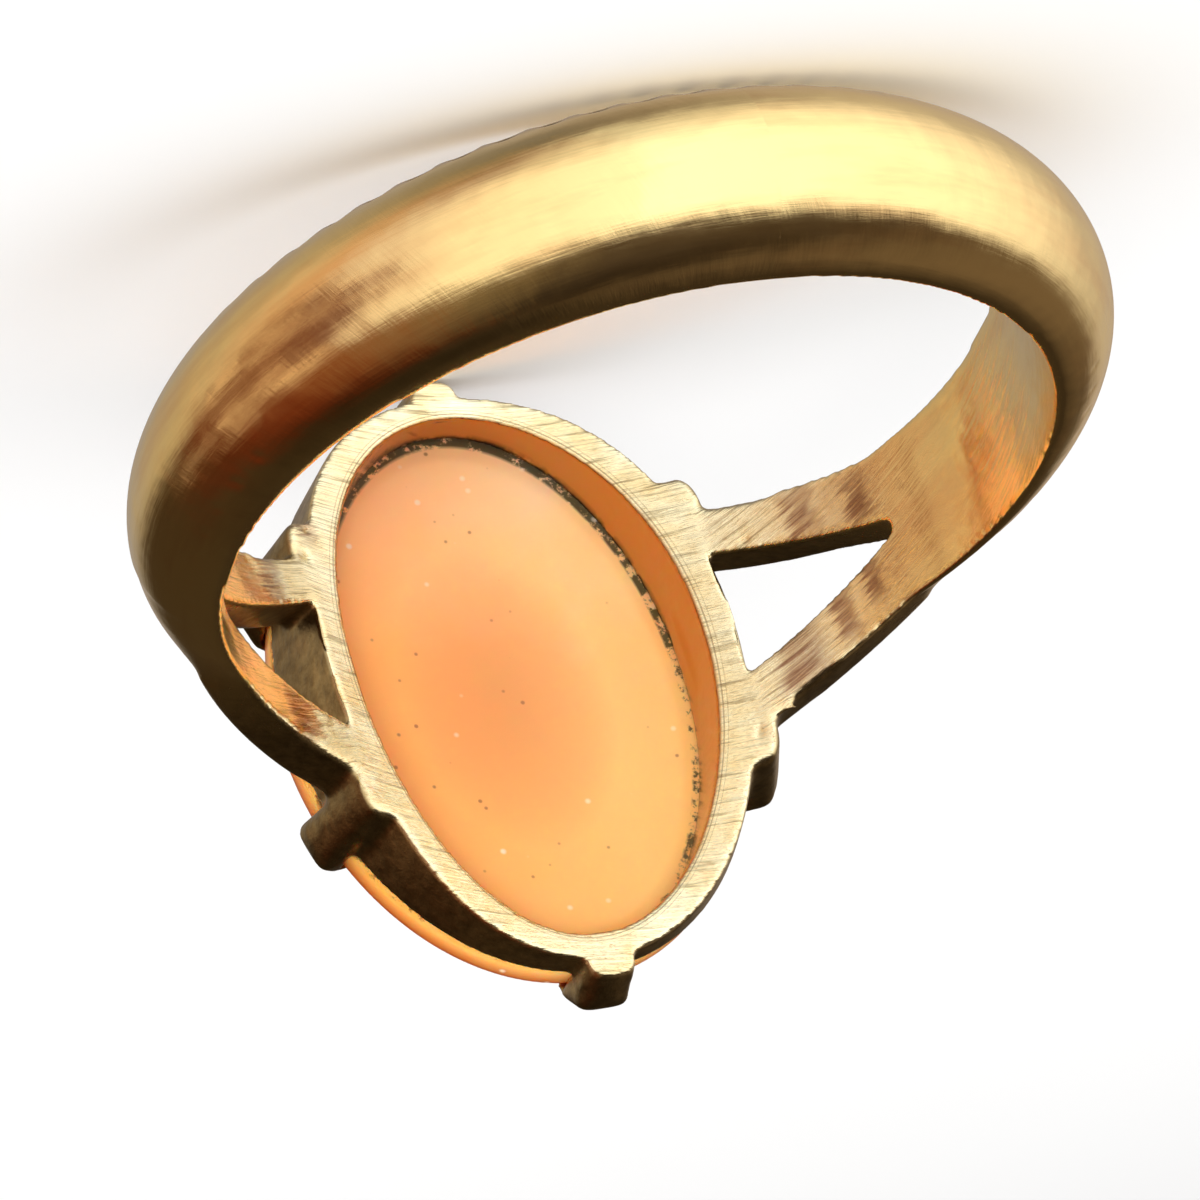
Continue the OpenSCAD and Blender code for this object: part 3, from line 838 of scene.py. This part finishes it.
# Helmet shell lets light through, so it glows peach to orange from within. It is ground smooth
# and waxed at the back, with dark specks and pale dots left by its growth.
shell, own = start_material("waxed_helmet_shell")
x, y, z = add(shell, "ShaderNodeSeparateXYZ", {0: own}).outputs
along = add(shell, "ShaderNodeMapRange", {"Value": y, "From Min": -cameo_l / 2, "From Max": cameo_l / 2})
cloud = add(shell, "ShaderNodeTexNoise", {"Vector": own, "Scale": 0.35, "Detail": 3, "Roughness": 0.5})
blend = add(shell, "ShaderNodeMath", {0: cloud, 1: 0.5, 2: -0.25}, operation="MULTIPLY_ADD")
blend = add(shell, "ShaderNodeMath", {0: along, 1: blend}, operation="ADD")
tint = add(shell, "ShaderNodeValToRGB", {"Fac": blend})
ramp = tint.color_ramp
ramp.elements[0].color = colour("#FFD2A6")
ramp.elements[1].color = colour("#FFC474")
middle = ramp.elements.new(0.45)
middle.color = colour("#FFC078")
to_left = add(shell, "ShaderNodeMapRange", {"Value": x, "From Min": 2, "From Max": -4, "To Max": 0.7})

# The carving stands in the white layer, above the domed ground. Seen from the side, the warm
# layer is a deeper orange, because it is thick there.
field = 1 - 2 * border_w / cameo_w
share = add(shell, "ShaderNodeVectorMath", {
    0: add(shell, "ShaderNodeCombineXYZ", {
        "X": add(shell, "ShaderNodeMath", {0: x, 1: field * cameo_w / 2}, operation="DIVIDE"),
        "Y": add(shell, "ShaderNodeMath", {0: y, 1: field * cameo_l / 2}, operation="DIVIDE")})},
    operation="LENGTH").outputs["Value"]
share = add(shell, "ShaderNodeMath", {0: share, 1: share}, operation="MULTIPLY", use_clamp=True)
ground_height = add(shell, "ShaderNodeMath", {0: share, 1: -dome_h, 2: rim_z + dome_h},
                    operation="MULTIPLY_ADD")
above = add(shell, "ShaderNodeMath", {0: z, 1: ground_height}, operation="SUBTRACT")
side_face = add(shell, "ShaderNodeMapRange", {"Value": z, "From Min": seat_z + 0.3,
                                              "From Max": seat_z + 0.8})
white = add(shell, "ShaderNodeMapRange", {"Value": above, "From Min": 0.05, "From Max": 0.4},
            interpolation_type="SMOOTHSTEP")

# Dried wax and soap lie in the corner between the shell's back and the wall, mostly at one end,
# where the crust also draws a painted shadow line along the joint
by_wall = add(shell, "ShaderNodeVectorMath", {0: own, 1: (2 / opening_w, 2 / opening_l, 0)},
              operation="MULTIPLY")
by_wall = add(shell, "ShaderNodeVectorMath", {0: by_wall}, operation="LENGTH").outputs["Value"]
crust_and_joint_shadow = add(shell, "ShaderNodeTexNoise", {"Vector": own, "Scale": 3, "Detail": 6, "Roughness": 0.75})
more = add(shell, "ShaderNodeMapRange", {"Value": y, "From Min": -4, "From Max": 1,
                                         "To Min": 0.12, "To Max": 0})
crust_and_joint_shadow = add(shell, "ShaderNodeMath", {0: crust_and_joint_shadow, 1: more}, operation="ADD")
crust_and_joint_shadow = add(shell, "ShaderNodeMapRange", {"Value": crust_and_joint_shadow, "From Min": 0.52, "From Max": 0.58, "To Max": 0.9})
crust_and_shadow_band = add(shell, "ShaderNodeMapRange", {"Value": by_wall, "From Min": 0.97, "From Max": 0.985})
crust_and_joint_shadow = add(shell, "ShaderNodeMath", {0: crust_and_joint_shadow, 1: crust_and_shadow_band}, operation="MULTIPLY")
crust_and_shadow_band = add(shell, "ShaderNodeMapRange", {
    "Value": z, "From Min": seat_z + 0.15, "From Max": seat_z + 0.25, "To Min": 1, "To Max": 0})
crust_and_joint_shadow = add(shell, "ShaderNodeMath", {0: crust_and_joint_shadow, 1: crust_and_shadow_band}, operation="MULTIPLY")

# Dark specks and pale dots, each about a tenth of a millimetre wide
specks = add(shell, "ShaderNodeTexVoronoi", {"Vector": own, "Scale": 1.6})
speck = add(shell, "ShaderNodeMapRange", {
    "Value": specks.outputs["Distance"], "From Min": 0.05, "From Max": 0.1, "To Min": 0.7, "To Max": 0})
dots = add(shell, "ShaderNodeTexVoronoi", {"Vector": own, "Scale": 1.1})
dot = add(shell, "ShaderNodeMapRange", {
    "Value": dots.outputs["Distance"], "From Min": 0.04, "From Max": 0.1, "To Min": 0.6, "To Max": 0})

# Each tone lies over the ones before it: deep orange to one side, the thick side face, the white
# layer, the crust with its painted joint shadow, the specks and the dots
tint = tint.outputs["Color"]
for layer, code in ((to_left, "#FF9A3C"), (side_face, "#903600"), (white, "#FFE8CC"),
                    (crust_and_joint_shadow, "#2A2E18"), (speck, "#8A4A22"), (dot, "#FFF0DC")):
    tint = add(shell, "ShaderNodeMix", {"Factor": layer, "A": tint, "B": colour(code)},
               data_type="RGBA").outputs["Result"]
shader = add(shell, "ShaderNodeBsdfPrincipled", {
    "Base Color": tint, "Roughness": 0.35, "IOR": 1.53,
    "Subsurface Weight": 1, "Subsurface Radius": (1, 0.4, 0.15), "Subsurface Scale": 0.0012})
add(shell, "ShaderNodeOutputMaterial", {"Surface": shader})
cameo.data.materials.clear()
cameo.data.materials.append(shell)

# The ring lies on matt white paper under a wide white ceiling. A lit white wall stands behind it,
# seen by the camera alone.
backdrop_r = 1.2
paper = bpy.data.materials.new("matt_white_paper")
paper.use_nodes = True
paper.node_tree.nodes.clear()
shader = add(paper, "ShaderNodeBsdfPrincipled", {"Base Color": colour("#F6F6F6"), "Roughness": 0.9})
add(paper, "ShaderNodeOutputMaterial", {"Surface": shader})
bpy.ops.mesh.primitive_circle_add(vertices=96, radius=1.1 * backdrop_r, fill_type="NGON", location=(0, 0, 0))
table = bpy.context.object
table.name = "table"
table.data.materials.append(paper)
table.visible_glossy = False

glow = bpy.data.materials.new("lit_white_wall")
glow.use_nodes = True
glow.node_tree.nodes.clear()
shader = add(glow, "ShaderNodeEmission", {"Color": colour("#FBFAF8"), "Strength": 1})
add(glow, "ShaderNodeOutputMaterial", {"Surface": shader})
bpy.ops.mesh.primitive_uv_sphere_add(segments=64, ring_count=32, radius=backdrop_r, location=(0, 0, 0))
backdrop = bpy.context.object
backdrop.name = "backdrop"
trim(backdrop, (0, 0, -0.001), (0, 0, -1))
backdrop.data.materials.append(glow)
backdrop.visible_glossy = False
backdrop.visible_diffuse = False
backdrop.visible_transmission = False
backdrop.visible_shadow = False

# The gold mirrors a room all round: the side of a bright window up to an edge, and dim walls above
# it. Each row is (direction in degrees from +Y towards +X, colour below, colour above, edge height
# in degrees, share of the window's light).
surroundings = [
    (-180, "#98908A", "#3C3020", -5, 0),
    (-135, "#B09F83", "#3C2E1E", 0, 0),
    (-115, "#C8AE90", "#4E2412", -2, 0),
    (-95, "#CBA07C", "#672C16", 4, 0),
    (-75, "#D6C1B1", "#7C4C30", 22, 0.1),
    (-40, "#F0E2CC", "#6E5E46", 36, 0.5),
    (-6, "#F8EEDC", "#40342A", 33, 0.8),
    (0, "#FFFBEC", "#40342A", 33, 1),
    (60, "#FFF2DE", "#382C20", 31, 0.9),
    (90, "#E2D6C6", "#5C4C3A", 28, 0.5),
    (115, "#B8AC9C", "#6A5844", 18, 0),
    (145, "#A89888", "#32281C", 3, 0),
    (180, "#98908A", "#3C3020", -5, 0),
]
world = bpy.data.worlds.new("studio_room")
bpy.context.scene.world = world
world.use_nodes = True
world.node_tree.nodes.clear()
x, y, z = add(world, "ShaderNodeSeparateXYZ", {
    0: add(world, "ShaderNodeTexCoord").outputs["Generated"]}).outputs
direction = add(world, "ShaderNodeMath", {0: x, 1: y}, operation="ARCTAN2")
direction = add(world, "ShaderNodeMapRange", {"Value": direction, "From Min": -math.pi, "From Max": math.pi})
elevation = add(world, "ShaderNodeMath", {0: z}, operation="ARCSINE")
elevation = add(world, "ShaderNodeMath", {0: elevation}, operation="DEGREES")

# One ring of shades each for the colour below, the colour above, the window's light and the edge.
# A shade holds 0 to 1 only, so the edge's height is kept as a share of 50 degrees from 10 below.
by_direction = []
for shades in (
        [colour(row[1]) for row in surroundings],
        [colour(row[2]) for row in surroundings],
        [[row[4]] * 3 + [1] for row in surroundings],
        [[(row[3] + 10) / 50] * 3 + [1] for row in surroundings]):
    ramp = add(world, "ShaderNodeValToRGB", {"Fac": direction})
    ramp.color_ramp.elements[0].color = shades[0]
    ramp.color_ramp.elements[1].color = shades[-1]
    for row, shade in zip(surroundings[1:-1], shades[1:-1]):
        ramp.color_ramp.elements.new((row[0] + 180) / 360).color = shade
    by_direction.append(ramp.outputs["Color"])
below, above, lit, edge_height = by_direction
edge_height = add(world, "ShaderNodeMath", {0: edge_height, 1: 50, 2: -10}, operation="MULTIPLY_ADD")
past_edge = add(world, "ShaderNodeMath", {0: elevation, 1: edge_height}, operation="SUBTRACT")
past_edge = add(world, "ShaderNodeMapRange", {"Value": past_edge, "From Min": -6, "From Max": 10},
                interpolation_type="SMOOTHSTEP")
nadir = add(world, "ShaderNodeMapRange", {"Value": elevation, "From Min": -80, "From Max": -42,
                                          "To Min": 0.5, "To Max": 1}, interpolation_type="SMOOTHSTEP")
zenith = add(world, "ShaderNodeMapRange", {"Value": elevation, "From Min": 45, "From Max": 85,
                                           "To Min": 1, "To Max": 0.4}, interpolation_type="SMOOTHSTEP")
shade = add(world, "ShaderNodeMix", {"Factor": past_edge, "A": below, "B": above},
            data_type="RGBA").outputs["Result"]

# To the left the room is uneven, with soft warm brown streaks and light between them
streaks = add(world, "ShaderNodeTexNoise", {
    "Vector": add(world, "ShaderNodeCombineXYZ", {
        "X": add(world, "ShaderNodeMath", {0: direction, 1: 20}, operation="MULTIPLY"),
        "Y": add(world, "ShaderNodeMath", {0: elevation, 1: 0.08}, operation="MULTIPLY")}),
    "Scale": 1, "Detail": 2, "Roughness": 0.5, "Distortion": 1.2}).outputs["Fac"]
in_streak = add(world, "ShaderNodeMapRange", {"Value": streaks, "From Min": 0.43, "From Max": 0.52},
                interpolation_type="SMOOTHSTEP")
uneven = add(world, "ShaderNodeCombineXYZ", {"X": direction, "Y": elevation})
uneven = add(world, "ShaderNodeVectorMath", {0: uneven, 1: (88 / 360, 2, 0)}, operation="SUBTRACT")
uneven = add(world, "ShaderNodeVectorMath", {0: uneven, 1: (360 / 38, 1 / 36, 0)},
             operation="MULTIPLY")
uneven = add(world, "ShaderNodeVectorMath", {0: uneven}, operation="LENGTH").outputs["Value"]
uneven = add(world, "ShaderNodeMapRange", {"Value": uneven, "From Min": 0.55, "From Max": 1.1,
                                           "To Min": 0.9, "To Max": 0},
             interpolation_type="SMOOTHSTEP")
streaky = add(world, "ShaderNodeMix", {"Factor": in_streak, "A": colour("#E4C09C"), "B": colour("#5E2812")},
              data_type="RGBA").outputs["Result"]
shade = add(world, "ShaderNodeMix", {"Factor": uneven, "A": shade, "B": streaky},
            data_type="RGBA").outputs["Result"]

strength = add(world, "ShaderNodeMath", {0: nadir, 1: zenith}, operation="MULTIPLY")
window = add(world, "ShaderNodeMath", {0: lit, 1: 0.35, 2: 1.2}, operation="MULTIPLY_ADD")
strength = add(world, "ShaderNodeMath", {0: strength, 1: window}, operation="MULTIPLY")
background = add(world, "ShaderNodeBackground", {"Color": shade, "Strength": strength})
add(world, "ShaderNodeOutputWorld", {"Surface": background})
world.cycles_visibility.diffuse = False

# The ceiling lights the paper and the shell. A small warm lamp fills the open back
sky = bpy.data.lights.new("white_ceiling", "SUN")
sky.energy = 3.3
sky.angle = math.radians(150)
ceiling = bpy.data.objects.new("white_ceiling", sky)
ceiling.visible_glossy = False
bpy.context.scene.collection.objects.link(ceiling)
fill = bpy.data.lights.new("warm_fill", "AREA")
fill.shape = "RECTANGLE"
fill.size = 0.4
fill.size_y = 0.25
fill.energy = 0.24
fill.spread = math.radians(30)
fill_place = Vector((-0.12, 0.3, 0.06))
fill_aim = Vector((0, 0, 0.008))
fill_stand = bpy.data.objects.new("warm_fill", fill)
fill_stand.location = fill_place
fill_stand.rotation_mode = "QUATERNION"
fill_stand.rotation_quaternion = (fill_aim - fill_place).to_track_quat("-Z", "Y")
fill_stand.visible_glossy = False
bpy.context.scene.collection.objects.link(fill_stand)

# The camera looks at the ring's back at the photo's angle, turned about its own line of sight
lens = bpy.data.cameras.new("camera")
lens.lens = 130.55
lens.sensor_width = 36
lens.clip_start = 0.01
lens.clip_end = 10
camera = bpy.data.objects.new("camera", lens)
camera_place = Vector((-0.031664, 0.080455, 0.023339))
camera_aim = Vector((-0.000685, 0.00016, 0.007396))
camera_roll = math.radians(168.9)
level = (camera_aim - camera_place).to_track_quat("-Z", "Y").to_matrix().to_4x4()
camera.matrix_world = Matrix.Translation(camera_place) @ level @ Matrix.Rotation(camera_roll, 4, "Z")
bpy.context.scene.collection.objects.link(camera)
bpy.context.scene.camera = camera
bpy.context.scene.view_settings.view_transform = "Standard"
